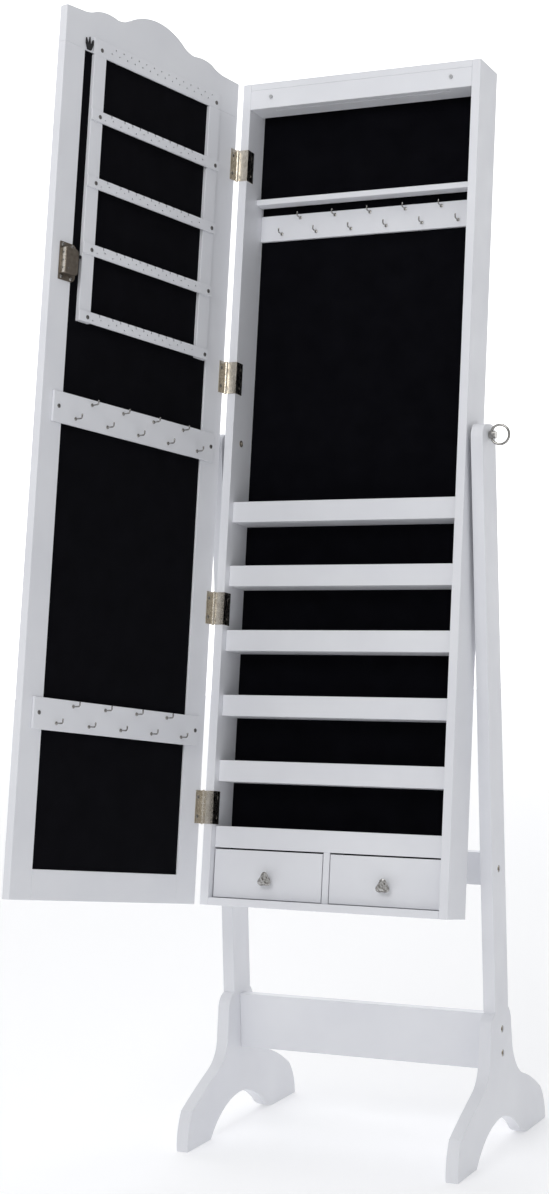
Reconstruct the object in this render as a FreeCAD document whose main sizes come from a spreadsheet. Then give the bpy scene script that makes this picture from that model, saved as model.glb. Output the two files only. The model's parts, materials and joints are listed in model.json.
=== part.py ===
import FreeCAD, Part
import math
import os
import Sketcher

# Jewelry armoire: a shallow cabinet hung between two uprights on a pivot bolt at each side, so
# that it tilts like a cheval glass. The door carries the mirror outside, and racks inside.
# Frame: millimetres, +Z up, +X right seen from the front, -Y towards the front. The origin is
# on the floor under the pivot axis, midway between the uprights. The model is in the pose in
# which the cabinet leans back and the door stands open.

V = FreeCAD.Vector
DIMS = {
    # stand
    "stand_width": 389, "upright_board": 16.5, "post_depth": 48, "post_corner": 16,
    "pivot_height": 916, "post_above_pivot": 14,
    "crossbar_base": 102, "crossbar_height": 72, "crossbar_board": 16,
    "stretcher_base": 339, "stretcher_height": 42,
    "toe_front": 167, "toe_rear": 158, "ankle_height": 178.5,
    "bolt_bore": 6.2, "bolt_head_bore": 9.4, "bolt_head_depth": 4,
    # pivots
    "pivot_bore": 6.16, "knob_shaft": 6, "spacer_width": 22, "ring_mean": 12.4, "ring_wire": 1.7,
    "ring_stem": 2.2, "knob_nub": 9, "nub_width": 10, "insert_width": 8,
    "insert_flange": 9, "flange_board": 0.8,
    # cabinet
    "cabinet_width": 346, "cabinet_height": 1110, "cabinet_depth": 62, "cabinet_top": 496,
    "panel": 12, "pivot_setback": 25, "tilt": 9.7, "edge_round": 0.8, "crest_round": 1,
    "top_board": 10, "base_board": 10, "top_rail_height": 26.5, "top_rail_depth": 39,
    "light_slot_length": 254, "light_slot_front": 9.5, "light_slot_width": 4.5,
    "light_slot_depth": 3,
    "back_board": 3, "back_felt_board": 2, "recess": 11.6,
    "upper_felt_front": 46.5, "upper_felt_board": 3,
    "narrow_shelf_base": 334, "narrow_shelf_board": 8, "narrow_shelf_front": 33.5,
    "narrow_shelf_depth": 19.5,
    "necklace_rail_base": 287, "necklace_rail_height": 36, "necklace_rail_board": 5,
    "shelf_pitch": 86, "first_lip_top": -81.3, "lip_height": 27.8, "lip_board": 9,
    "shelf_board": 9,
    # drawers
    "drawer_gap": 2, "drawer_side_gap": 1, "drawer_front_board": 9, "divider_board": 9,
    "tray_wall": 4, "tray_floor": 3, "tray_height": 46, "tray_inset": 2,
    "knob_foot": 1.5, "knob_stem": 3, "knob_flare": 4.5, "knob_crown": 3.5, "knob_height": -578,
    # door
    "door_angle": 102.2, "door_board": 12, "pin_out": 2.3, "pin_forward": 1.3,
    "door_edge": 4, "door_free": 348, "opening_near": 42, "opening_far": 311,
    "opening_base": -577, "opening_top": 448, "glass_lip": 6, "lip_thick": 3,
    "glass_board": 3, "door_felt_board": 3.4, "felt_recess": 2.6,
    # earring rack on the door
    "strip_width": 22, "near_strip": 44.5, "far_strip": 273.5, "strip_board": 5.4,
    "rail_near": 44.5, "rail_far": 297, "earring_pitch": 86.5, "top_earring_rail": 446.6,
    "earring_rail_height": 14.4, "top_earring_height": 22, "earring_rail_board": 3,
    "top_earring_board": 2,
    "slot_width": 2.8, "slot_depth": 3.6, "slot_pitch": 14.9, "slot_count": 10,
    "first_slot": 100.8, "lone_slot": 260,
    # hook rails on the door
    "hook_rail_near": 19.5, "hook_rail_far": 330, "hook_rail_height": 39,
    "upper_hook_rail": -33, "lower_hook_rail": -410, "hook_rail_board": 3.5,
    "hook_pitch": 58.8, "hook_reach": 11, "hook_rise": 4.8, "hook_wire": 1.9,
    "hook_collar": 4.6,
    # hinges
    "hinge_height": 43, "knuckle": 4.2, "hinge_pin": 2.2, "pin_bore": 2.3, "hinge_leaf": 1,
    "hinge_wrap": 18, "door_leaf": 14, "knuckle_gap": 0.3,
    # lock
    "lock_near": 305, "lock_plate_width": 29, "lock_base": 145.5, "lock_plate_height": 48,
    "lock_plate": 1.5, "lock_case_depth": 9.5, "lock_case_inset": 3, "lock_case_height": 34,
    "plate_corner": 8, "case_corner": 6, "lock_screw_edge": 4, "plug_bore": 9, "plug_width": 8.9,
    "bolt_height": 9, "bolt_thick": 3, "bolt_lift": 3.5, "mortise_depth": 8,
    # screws
    "screw_shank": 2.6, "screw_bore": 2.7, "screw_head": 5.4, "screw_head_height": 0.9,
    # three-pronged hook above the gap beside the rack
    "band_hook_place": 305, "band_hook_rise": 1, "band_hook_width": 13, "band_hook_height": 17,
    "band_hook_board": 2.2,
}

os.makedirs("parts", exist_ok=True)
doc = FreeCAD.newDocument("armoire")
sheet = doc.addObject("Spreadsheet::Sheet", "dims")
for row, (alias, value) in enumerate(DIMS.items(), start=1):
    sheet.set("A%d" % row, alias)
    sheet.set("B%d" % row, str(value))
    sheet.setAlias("B%d" % row, alias)
doc.recompute()
SUBPARTS = []


def dim(name):
    """Value of one cell of the sheet."""
    return float(sheet.get(name))


def linked(formula):
    """The formula with every alias turned into a reference to the sheet."""
    words = []
    word = ""
    for letter in formula + " ":
        if letter.isalnum() or letter in "_.":
            word += letter
            continue
        words.append("dims." + word if word in DIMS else word)
        words.append(letter)
        word = ""
    return "".join(words).strip()


# Places of the three moving assemblies, all built from the sheet.
STAND = FreeCAD.Placement()
LEAN = FreeCAD.Rotation(V(1, 0, 0), -dim("tilt"))
CABINET = FreeCAD.Placement(V(0, 0, dim("pivot_height")), LEAN)
FRONT = -dim("pivot_setback")
PIN_X = -dim("cabinet_width") / 2 - dim("pin_out")
PIN_Y = FRONT - dim("pin_forward")
DOOR = CABINET * FreeCAD.Placement(
    V(PIN_X, PIN_Y, 0), FreeCAD.Rotation(V(0, 0, 1), -dim("door_angle")))


def keep(thing, label, placement):
    """Register one sub-part under its label, standing at its place."""
    thing.Label = label
    thing.Placement = placement
    SUBPARTS.append(thing)
    return thing


def origin_plane(body, role):
    for feature in body.Origin.OriginFeatures:
        if feature.Role == role:
            return feature
    raise RuntimeError("no plane " + role)


def new_sketch(body, role, offset=("0", "0", "0")):
    """An empty sketch on one of the body's own planes, moved by three formulas."""
    sketch = body.newObject("Sketcher::SketchObject", "Sketch")
    sketch.AttachmentSupport = [(origin_plane(body, role), "")]
    sketch.MapMode = "FlatFace"
    for axis, formula in zip("xyz", offset):
        sketch.setExpression("AttachmentOffset.Base." + axis, linked(formula))
    return sketch


def add_rectangle(sketch, width, height):
    """A rectangle from the sketch's origin, its sides bound to two formulas."""
    start = sketch.GeometryCount
    corners = [V(0, 0, 0), V(10, 0, 0), V(10, 10, 0), V(0, 10, 0)]
    for index in range(4):
        sketch.addGeometry(Part.LineSegment(corners[index], corners[(index + 1) % 4]), False)
    for index in range(4):
        follower = start + (index + 1) % 4
        sketch.addConstraint(Sketcher.Constraint("Coincident", start + index, 2, follower, 1))
    for index, kind in ((0, "Horizontal"), (2, "Horizontal"), (1, "Vertical"), (3, "Vertical")):
        sketch.addConstraint(Sketcher.Constraint(kind, start + index))
    sketch.addConstraint(Sketcher.Constraint("Coincident", start, 1, -1, 1))
    wide = sketch.addConstraint(Sketcher.Constraint("DistanceX", start, 1, start, 2, 10))
    high = sketch.addConstraint(Sketcher.Constraint("DistanceY", start + 1, 1, start + 1, 2, 10))
    sketch.setExpression("Constraints[%d]" % wide, linked(width))
    sketch.setExpression("Constraints[%d]" % high, linked(height))


def add_outline(sketch, steps):
    """A closed outline: each step is an end point, or a middle point and an end point."""
    last = steps[-1][-1]
    for step in steps:
        here = V(last[0], last[1], 0)
        there = V(step[-1][0], step[-1][1], 0)
        if len(step) == 1:
            sketch.addGeometry(Part.LineSegment(here, there), False)
        else:
            middle = V(step[0][0], step[0][1], 0)
            sketch.addGeometry(Part.Arc(here, middle, there), False)
        last = step[-1]


def add_circles(sketch, centres, diameter):
    for centre in centres:
        index = sketch.addGeometry(Part.Circle(V(centre[0], centre[1], 0), V(0, 0, 1), 1), False)
        number = sketch.addConstraint(Sketcher.Constraint("Diameter", index, 2))
        sketch.setExpression("Constraints[%d]" % number, linked(diameter))


def pad(body, sketch, length):
    feature = body.newObject("PartDesign::Pad", "Pad")
    feature.Profile = sketch
    feature.setExpression("Length", linked(length))
    sketch.Visibility = False
    doc.recompute()
    return feature


def pocket(body, sketch, length, both_ways=False):
    """Cut the sketch's shape out of the body, on whichever side takes material away."""
    before = body.Shape.Volume
    feature = body.newObject("PartDesign::Pocket", "Pocket")
    feature.Profile = sketch
    feature.setExpression("Length", linked(length))
    feature.Midplane = both_ways
    doc.recompute()
    if body.Shape.Volume > before - 0.01:
        feature.Reversed = True
        doc.recompute()
    if body.Shape.Volume > before - 0.01:
        raise RuntimeError(body.Label + ": a pocket cut nothing")
    return feature


def soften(body, radius="edge_round", joint=None):
    """Round the edges of the body's last feature, but not those in the joint's level plane."""
    base = body.Tip
    names = []
    for number, edge in enumerate(base.Shape.Edges, start=1):
        box = edge.BoundBox
        flat_here = joint is not None and box.ZLength < 0.001 and abs(box.ZMin - joint) < 0.001
        if not flat_here:
            names.append("Edge%d" % number)
    feature = body.newObject("PartDesign::Fillet", "Fillet")
    feature.Base = (base, names)
    feature.setExpression("Radius", linked(radius))
    doc.recompute()
    return feature


def board(label, placement, corner, size, radius="edge_round"):
    """A board from its lowest corner and its three sizes, with rounded edges."""
    body = doc.addObject("PartDesign::Body", "Body")
    sketch = new_sketch(body, "XY_Plane", corner)
    add_rectangle(sketch, size[0], size[1])
    pad(body, sketch, size[2])
    if radius:
        soften(body, radius)
    return keep(body, label, placement)


def drill(body, role, level, centres, diameter, depth):
    """Round holes in a board, from the plane at the given level."""
    sketch = new_sketch(body, role, ("0", "0", level))
    add_circles(sketch, centres, diameter)
    return pocket(body, sketch, depth)


def group(label, placement, shapes):
    """Several like pieces that share one sub-part."""
    feature = doc.addObject("Part::Feature", "Group")
    feature.Shape = Part.makeCompound(shapes)
    return keep(feature, label, placement)


def rod(diameter, length, base, direction):
    return Part.makeCylinder(diameter / 2, length, base, direction)


# ---------------------------------------------------------------- stand

def upright_outline():
    """Side view of an upright, as (y, z): the post, and the foot that flares from it."""
    half = dim("post_depth") / 2
    top = dim("pivot_height") + dim("post_above_pivot")
    corner = dim("post_corner")
    chord = corner * (1 - math.cos(math.pi / 4))
    front = -dim("toe_front")
    rear = dim("toe_rear")
    ankle = dim("ankle_height")
    return [
        [(front + 4, 28), (front + 15, 50)],
        [(-112, 69.5), (-74, 86)],
        [(-56, 99.5), (-46.5, 124)],
        [(-41, 158)],
        [(-36, 171), (-half, ankle)],
        [(-half, top - corner)],
        [(-half + chord, top - chord), (-half + corner, top)],
        [(half - corner, top)],
        [(half - chord, top - chord), (half, top - corner)],
        [(half, ankle)],
        [(30, 171), (33.5, 156)],
        [(37, 124)],
        [(50, 98), (70, 82)],
        [(103, 69), (rear - 17, 47)],
        [(rear - 4, 26), (rear, 0)],
        [(92, 0)],
        [(75, 2.2), (62, 8.5)],
        [(31, 31), (-4, 42)],
        [(-62, 30.5), (-101, 0)],
        [(front, 0)],
    ]


BOLT_PLACES = [(0, 123), (0, 154), (0, 360)]


def make_upright(label, side):
    body = doc.addObject("PartDesign::Body", "Body")
    inner = "stand_width / 2 - upright_board"
    level = inner if side > 0 else "-stand_width / 2"
    sketch = new_sketch(body, "YZ_Plane", ("0", "0", level))
    add_outline(sketch, upright_outline())
    pad(body, sketch, "upright_board")
    soften(body)
    outer = "stand_width / 2" if side > 0 else "-stand_width / 2"
    drill(body, "YZ_Plane", outer, BOLT_PLACES, "bolt_bore", "upright_board")
    drill(body, "YZ_Plane", outer, BOLT_PLACES, "bolt_head_bore", "bolt_head_depth")
    drill(body, "YZ_Plane", outer, [(0, dim("pivot_height"))], "pivot_bore", "upright_board")
    keep(body, label, STAND)


def make_stand():
    make_upright("left_upright", -1)
    make_upright("right_upright", 1)
    span = "stand_width - 2 * upright_board"
    left = "-(stand_width / 2 - upright_board)"
    crossbar = board("lower_crossbar", STAND, (left, "-crossbar_board / 2", "crossbar_base"),
                     (span, "crossbar_board", "crossbar_height"))
    stretcher = board("upper_stretcher", STAND, (left, "-crossbar_board / 2", "stretcher_base"),
                      (span, "crossbar_board", "stretcher_height"))
    depth = "bolt_head_depth * 10"
    for side in ("", "-"):
        face = side + "(stand_width / 2 - upright_board)"
        drill(crossbar, "YZ_Plane", face, BOLT_PLACES[:2], "bolt_bore", depth)
        drill(stretcher, "YZ_Plane", face, BOLT_PLACES[2:], "bolt_bore", depth)
    group("stand_bolts", STAND, stand_bolts())


def stand_bolts():
    """Socket-head bolts that clamp the uprights to the two cross members."""
    bolts = []
    sunk = 1
    socket = 4
    for side in (-1, 1):
        inward = V(-side, 0, 0)
        for y, z in BOLT_PLACES:
            head_face = V(side * (dim("stand_width") / 2 - sunk), y, z)
            seat = dim("bolt_head_depth") - sunk
            head = rod(dim("bolt_head_bore") - 0.2, seat, head_face, inward)
            shank = rod(dim("bolt_bore") - 0.2, dim("upright_board") + 30, head_face, inward)
            recess = rod(socket, seat - 1, head_face, inward)
            bolts.append(head.fuse(shank).cut(recess))
    return bolts


# ---------------------------------------------------------------- pivots

def make_ring_knob(label, side):
    """A finger ring on a threaded shaft, that clamps the pivot at one side."""
    outer = dim("stand_width") / 2
    clear = 0.4
    direction = V(side, 0, 0)
    shaft_start = dim("cabinet_width") / 2 - dim("panel") + 0.5
    stem_end = outer + dim("ring_stem")
    shaft = doc.addObject("Part::Cylinder", "Shaft")
    shaft.setExpression("Radius", linked("knob_shaft / 2"))
    shaft.setExpression("Height", linked(
        "stand_width / 2 + ring_stem - 1 - cabinet_width / 2 + panel - 0.5"))
    shaft.Placement = FreeCAD.Placement(
        V(side * shaft_start, 0, 0), FreeCAD.Rotation(V(0, 0, 1), direction))
    collar = doc.addObject("Part::Cylinder", "Collar")
    collar.setExpression("Radius", linked("nub_width / 2"))
    collar.setExpression("Height", linked("knob_nub"))
    collar.Placement = FreeCAD.Placement(
        V(side * (outer + clear), 0, 0), FreeCAD.Rotation(V(0, 0, 1), direction))
    ring = doc.addObject("Part::Torus", "Ring")
    ring.setExpression("Radius1", linked("ring_mean"))
    ring.setExpression("Radius2", linked("ring_wire"))
    ring.Placement = FreeCAD.Placement(
        V(side * (stem_end + dim("ring_mean")), 0, 0), FreeCAD.Rotation(V(1, 0, 0), 90))
    knob = doc.addObject("Part::MultiFuse", "Knob")
    knob.Shapes = [shaft, collar, ring]
    keep(knob, label, FreeCAD.Placement(V(0, 0, dim("pivot_height")), FreeCAD.Rotation()))


def make_pivots():
    make_ring_knob("left_ring_knob", -1)
    make_ring_knob("right_ring_knob", 1)
    post_face = dim("stand_width") / 2 - dim("upright_board")
    gap = post_face - dim("cabinet_width") / 2
    spacers = []
    inserts = []
    axis = V(0, 0, dim("pivot_height"))
    clear = 0.4
    for side in (-1, 1):
        inward = V(-side, 0, 0)
        base = axis + V(side * post_face, 0, 0)
        bore = rod(dim("pivot_bore"), gap + 2, base, inward)
        spacers.append(rod(dim("spacer_width"), gap - clear, base, inward).cut(bore))
        outer = V(side * dim("cabinet_width") / 2, 0, 0)
        length = dim("panel")
        flange_start = outer + inward * length
        sleeve = rod(dim("insert_width"), length + dim("flange_board"), outer, inward)
        flange = rod(dim("insert_flange"), dim("flange_board"), flange_start, inward)
        hole = rod(dim("pivot_bore"), length + 5, outer, inward)
        inserts.append(sleeve.fuse(flange).cut(hole))
    group("pivot_spacers", STAND, spacers)
    group("pivot_inserts", CABINET, inserts)


# ---------------------------------------------------------------- cabinet

HINGE_CENTRES = [381, 86, -226, -488]
HINGE_SCREW_RISE = 12.5
CAB_SCREW_DEPTH = 12


def hinge_screw_heights():
    return [z + rise for z in HINGE_CENTRES for rise in (-HINGE_SCREW_RISE, HINGE_SCREW_RISE)]


def make_side_panel(label, side):
    left = "-cabinet_width / 2" if side < 0 else "cabinet_width / 2 - panel"
    body = board(label, CABINET, (left, "-pivot_setback", "cabinet_top - cabinet_height"),
                 ("panel", "cabinet_depth", "cabinet_height"))
    outer = "cabinet_width / 2" if side > 0 else "-cabinet_width / 2"
    drill(body, "YZ_Plane", outer, [(0, 0)], "insert_width", "panel")
    inner = "cabinet_width / 2 - panel" if side > 0 else "-cabinet_width / 2 + panel"
    if side < 0:
        centres = [(FRONT + CAB_SCREW_DEPTH, z) for z in hinge_screw_heights()]
        drill(body, "YZ_Plane", inner, centres, "screw_bore", "panel - 3")
    else:
        mortise = new_sketch(body, "YZ_Plane", (
            "-pivot_setback - pin_forward * 2 + lock_plate + bolt_lift - 1",
            "lock_base + lock_plate_height / 2 - bolt_height / 2 - 1", inner))
        add_rectangle(mortise, "bolt_thick + 2", "bolt_height + 2")
        pocket(body, mortise, "mortise_depth")


def make_top():
    inner_left = "-cabinet_width / 2 + panel"
    inner_width = "cabinet_width - 2 * panel"
    depth = "cabinet_depth - back_board"
    board("top_panel", CABINET, (inner_left, "-pivot_setback", "cabinet_top - top_board"),
          (inner_width, depth, "top_board"))
    board("bottom_panel", CABINET,
          (inner_left, "-pivot_setback", "cabinet_top - cabinet_height"),
          (inner_width, depth, "base_board"))
    rail = board("top_rail", CABINET,
                 (inner_left, "-pivot_setback", "cabinet_top - top_board - top_rail_height"),
                 (inner_width, "top_rail_depth", "top_rail_height"))
    slot = new_sketch(rail, "XY_Plane", (
        "-light_slot_length / 2", "-pivot_setback + light_slot_front",
        "cabinet_top - top_board - top_rail_height"))
    add_rectangle(slot, "light_slot_length", "light_slot_width")
    pocket(rail, slot, "light_slot_depth")


def make_back():
    base = "cabinet_top - cabinet_height"
    inner_left = "-cabinet_width / 2 + panel"
    inner_width = "cabinet_width - 2 * panel"
    back_face = "-pivot_setback + cabinet_depth - back_board"
    board("back_panel", CABINET, (inner_left, back_face, base),
          (inner_width, "back_board", "cabinet_height"), "")
    felt_face = back_face + " - back_felt_board"
    board("back_felt", CABINET, (inner_left, felt_face, base + " + base_board"),
          (inner_width, "back_felt_board", "cabinet_height - base_board - top_board"), "")
    shelf_top = "narrow_shelf_base + narrow_shelf_board"
    board("upper_felt_board", CABINET,
          (inner_left, "-pivot_setback + upper_felt_front", shelf_top),
          (inner_width, "upper_felt_board",
           "cabinet_top - top_board - narrow_shelf_base - narrow_shelf_board"), "")
    board("narrow_shelf", CABINET, (inner_left, "-pivot_setback + narrow_shelf_front",
                                    "narrow_shelf_base"),
          (inner_width, "narrow_shelf_depth", "narrow_shelf_board"))
    rail = board("necklace_rail", CABINET,
                 (inner_left, felt_face + " - necklace_rail_board", "necklace_rail_base"),
                 (inner_width, "necklace_rail_board", "necklace_rail_height"))
    places = necklace_hook_places()
    drill(rail, "XZ_Plane", "-(" + felt_face + " - necklace_rail_board)", places,
          "screw_bore", "necklace_rail_board - 2")


def necklace_hook_places():
    """Two staggered rows of hooks on the necklace rail, as (x, z)."""
    upper = dim("necklace_rail_base") + 30.5
    lower = dim("necklace_rail_base") + 9.5
    pitch = 51.6
    places = [(1.4 + pitch * n, upper) for n in range(-2, 3)]
    places += [(0.2 + pitch * (n - 2.5), lower) for n in range(6)]
    return places


def lip_top(number):
    return "first_lip_top - %d * shelf_pitch" % number


def make_shelves():
    inner_left = "-cabinet_width / 2 + panel"
    inner_width = "cabinet_width - 2 * panel"
    depth = "cabinet_depth - back_board - back_felt_board - recess - lip_board"
    lips = []
    for number in range(6):
        label = "drawer_deck" if number == 5 else "shelf_%d" % (number + 1)
        base = lip_top(number) + " - lip_height"
        board(label, CABINET, (inner_left, "-pivot_setback + recess + lip_board", base),
              (inner_width, depth, "shelf_board"))
        lip = doc.addObject("Part::Box", "Lip")
        lip.setExpression("Length", linked(inner_width))
        lip.setExpression("Width", linked("lip_board"))
        lip.setExpression("Height", linked("lip_height"))
        corner = (inner_left, "-pivot_setback + recess", base)
        for axis, formula in zip("xyz", corner):
            lip.setExpression("Placement.Base." + axis, linked(formula))
        soft = doc.addObject("Part::Fillet", "SoftLip")
        soft.Base = lip
        radius = dim("edge_round")
        soft.Edges = [(edge, radius, radius) for edge in range(1, 13)]
        lips.append(soft)
    joined = doc.addObject("Part::Compound", "Lips")
    joined.Links = lips
    keep(joined, "shelf_lips", CABINET)
    base = "cabinet_top - cabinet_height + base_board"
    board("drawer_divider", CABINET,
          ("-divider_board / 2", "-pivot_setback + recess", base),
          ("divider_board", "cabinet_depth - back_board - back_felt_board - recess",
           lip_top(5) + " - lip_height - (" + base + ")"))


def make_bumpers():
    """Two soft pads on the top rail, that the closed door rests against."""
    pads = []
    for x, z in ((-130, 475), (132, 475)):
        pads.append(rod(5, 2, V(x, FRONT, z), V(0, -1, 0)))
    group("bumper_pads", CABINET, pads)


# ---------------------------------------------------------------- drawers

def make_drawer(side_name, side):
    """Front, tray and lining of one drawer, and its knob."""
    inner = "cabinet_width / 2 - panel"
    width = inner + " - divider_board / 2 - 2 * drawer_side_gap"
    left = "-(" + inner + ") + drawer_side_gap"
    if side > 0:
        left = "divider_board / 2 + drawer_side_gap"
    base = "cabinet_top - cabinet_height + base_board + 0.8"
    top = lip_top(5) + " - lip_height - drawer_gap"
    front = board("drawer_front_" + side_name, CABINET, (left, "-pivot_setback + recess", base),
                  (width, "drawer_front_board", top + " - (" + base + ")"))
    centre_x = side * (dim("cabinet_width") / 2 - dim("panel") + dim("divider_board") / 2) / 2
    knob_z = dim("knob_height")
    drill(front, "XZ_Plane", "pivot_setback - recess", [(centre_x, knob_z)], "screw_bore",
          "drawer_front_board")
    tray = doc.addObject("PartDesign::Body", "Body")
    tray_y = "-pivot_setback + recess + drawer_front_board"
    depth = "cabinet_depth - back_board - back_felt_board - recess - drawer_front_board - 1.5"
    outer = new_sketch(tray, "XY_Plane", (left + " + tray_inset", tray_y, base))
    add_rectangle(outer, width + " - 2 * tray_inset", depth)
    pad(tray, outer, "tray_height")
    hollow = new_sketch(tray, "XY_Plane", (
        left + " + tray_inset + tray_wall", tray_y + " + tray_wall", base + " + tray_height"))
    add_rectangle(hollow, width + " - 2 * tray_inset - 2 * tray_wall", depth + " - 2 * tray_wall")
    pocket(tray, hollow, "tray_height - tray_floor")
    keep(tray, "drawer_tray_" + side_name, CABINET)
    group("drawer_knob_" + side_name, CABINET, [drawer_knob(centre_x, knob_z)])


def drawer_knob(x, z):
    """A cut-glass knob on a metal foot, with its screw through the drawer front."""
    face = V(x, FRONT + dim("recess"), z)
    out = V(0, -1, 0)
    foot = rod(8, dim("knob_foot"), face, out)
    stem_start = face + out * dim("knob_foot")
    stem = Part.makeCone(3, 4.2, dim("knob_stem"), stem_start, out)
    flare_start = stem_start + out * dim("knob_stem")
    flare = Part.makeCone(4.2, 9.5, dim("knob_flare"), flare_start, out)
    crown_start = flare_start + out * dim("knob_flare")
    crown = Part.makeCone(9.5, 6, dim("knob_crown"), crown_start, out)
    screw = rod(dim("screw_shank"), dim("drawer_front_board"), face, -out)
    return foot.fuse([stem, flare, crown, screw])


# ---------------------------------------------------------------- door

INNER = "pin_forward"
OUTER_FACE = "-pin_forward - door_board"


def make_door_frame():
    """Two stiles, a bottom rail and the crest rail, each with a lip in front of the glass."""
    base = "cabinet_top - cabinet_height"
    stile_height = "opening_top - (" + base + ")"
    opening_height = "opening_top - opening_base"
    depth = ("door_board", "lip_thick")
    stiles = (
        ("hinge_stile", "door_edge", "opening_near - door_edge", "opening_near - 1"),
        ("lock_stile", "opening_far", "door_free - opening_far", "opening_far - glass_lip"),
    )
    for label, left, width, lip_left in stiles:
        body = doc.addObject("PartDesign::Body", "Body")
        sketch = new_sketch(body, "XY_Plane", (left, OUTER_FACE, base))
        add_rectangle(sketch, width, depth[0])
        pad(body, sketch, stile_height)
        soften(body, joint=dim("opening_top"))
        lip = new_sketch(body, "XY_Plane", (lip_left, OUTER_FACE, "opening_base"))
        add_rectangle(lip, "glass_lip + 1", depth[1])
        pad(body, lip, opening_height)
        drill_stile(body, label)
        keep(body, label, DOOR)
    bottom = doc.addObject("PartDesign::Body", "Body")
    sketch = new_sketch(bottom, "XY_Plane", ("opening_near", OUTER_FACE, base))
    add_rectangle(sketch, "opening_far - opening_near", depth[0])
    pad(bottom, sketch, "opening_base - (" + base + ")")
    soften(bottom)
    lip = new_sketch(bottom, "XY_Plane",
                     ("opening_near + glass_lip", OUTER_FACE, "opening_base - 1"))
    add_rectangle(lip, "opening_far - opening_near - 2 * glass_lip", depth[1])
    pad(bottom, lip, "glass_lip + 1")
    keep(bottom, "bottom_rail", DOOR)
    make_crest_rail()


def crest_outline():
    """Front view of the crest rail: a dome between two low shoulders, as (s, z)."""
    top = dim("cabinet_top")
    near = dim("door_edge")
    far = dim("door_free")
    middle = (near + far) / 2
    rise = [(138, 1.6), (124, 4.6), (113, 9.2), (98, 11.6), (77, 9.6), (62, 12.2), (50, 18.8),
            (0, 32.2)]
    steps = [[(near, top)], [(middle - rise[0][0], top + rise[0][1])]]
    for index in range(1, 7, 2):
        steps.append([(middle - rise[index][0], top + rise[index][1]),
                      (middle - rise[index + 1][0], top + rise[index + 1][1])])
    steps.append([(middle, top + rise[7][1]), (middle + rise[6][0], top + rise[6][1])])
    for index in range(5, 0, -2):
        steps.append([(middle + rise[index][0], top + rise[index][1]),
                      (middle + rise[index - 1][0], top + rise[index - 1][1])])
    steps.append([(far, top)])
    steps.append([(far, dim("opening_top"))])
    steps.append([(near, dim("opening_top"))])
    return steps


def make_crest_rail():
    body = doc.addObject("PartDesign::Body", "Body")
    sketch = new_sketch(body, "XZ_Plane", ("0", "0", INNER))
    add_outline(sketch, crest_outline())
    pad(body, sketch, "door_board")
    soften(body, "crest_round")
    lip = new_sketch(body, "XY_Plane",
                     ("opening_near + glass_lip", OUTER_FACE, "opening_top - glass_lip"))
    add_rectangle(lip, "opening_far - opening_near - 2 * glass_lip", "lip_thick")
    pad(body, lip, "glass_lip + 1")
    screws = [(s, earring_rail_base(0) + TOP_SCREW_RISE) for s in EARRING_SCREWS]
    drill(body, "XZ_Plane", INNER, screws, "screw_bore", "door_board - 3")
    keep(body, "crest_rail", DOOR)


EARRING_SCREWS = [52, 282]
SCREW_RISE = 6.5
TOP_SCREW_RISE = 8.5
HOOK_RAIL_SCREWS = [26.3, 320.7]
DOOR_HINGE_SCREW = 9.5


def hook_rail_bases():
    return [dim("upper_hook_rail"), dim("lower_hook_rail")]


def drill_stile(body, label):
    """Pilot holes for the hinges' and the hook rails' screws."""
    heights = [base + dim("hook_rail_height") * 0.52 for base in hook_rail_bases()]
    if label == "hinge_stile":
        centres = [(HOOK_RAIL_SCREWS[0], z) for z in heights]
        centres += [(DOOR_HINGE_SCREW, z) for z in hinge_screw_heights()]
    else:
        centres = [(HOOK_RAIL_SCREWS[1], z) for z in heights]
        centres += lock_screw_places()
        plug = [lock_plug_place()]
        drill(body, "XZ_Plane", INNER, plug, "plug_bore + 4", "door_board")
    drill(body, "XZ_Plane", INNER, centres, "screw_bore", "door_board - 3")


def make_door_panels():
    glass_y = OUTER_FACE + " + lip_thick"
    width = "opening_far - opening_near"
    height = "opening_top - opening_base"
    board("mirror_glass", DOOR, ("opening_near", glass_y, "opening_base"),
          (width, "glass_board", height), "")
    board("door_felt", DOOR, ("opening_near", glass_y + " + glass_board", "opening_base"),
          (width, "door_felt_board", height), "")


def earring_rail_base(number):
    return dim("top_earring_rail") - number * dim("earring_pitch")


def make_rack():
    """Two upright strips on the felt, with five drilled rails across them."""
    felt_face = "-pin_forward - felt_recess"
    strip_base = "top_earring_rail - 4 * earring_pitch"
    for label, near in (("rack_strip_near", "near_strip"), ("rack_strip_far", "far_strip")):
        strip = board(label, DOOR, (near, felt_face, strip_base),
                      ("strip_width", "strip_board", "4 * earring_pitch"))
        screw = EARRING_SCREWS[0] if near == "near_strip" else EARRING_SCREWS[1]
        centres = [(screw, earring_rail_base(n) + SCREW_RISE) for n in range(1, 5)]
        drill(strip, "XZ_Plane", "pin_forward + felt_recess - strip_board", centres,
              "screw_bore", "strip_board")
    for number in range(5):
        make_earring_rail(number)


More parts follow.
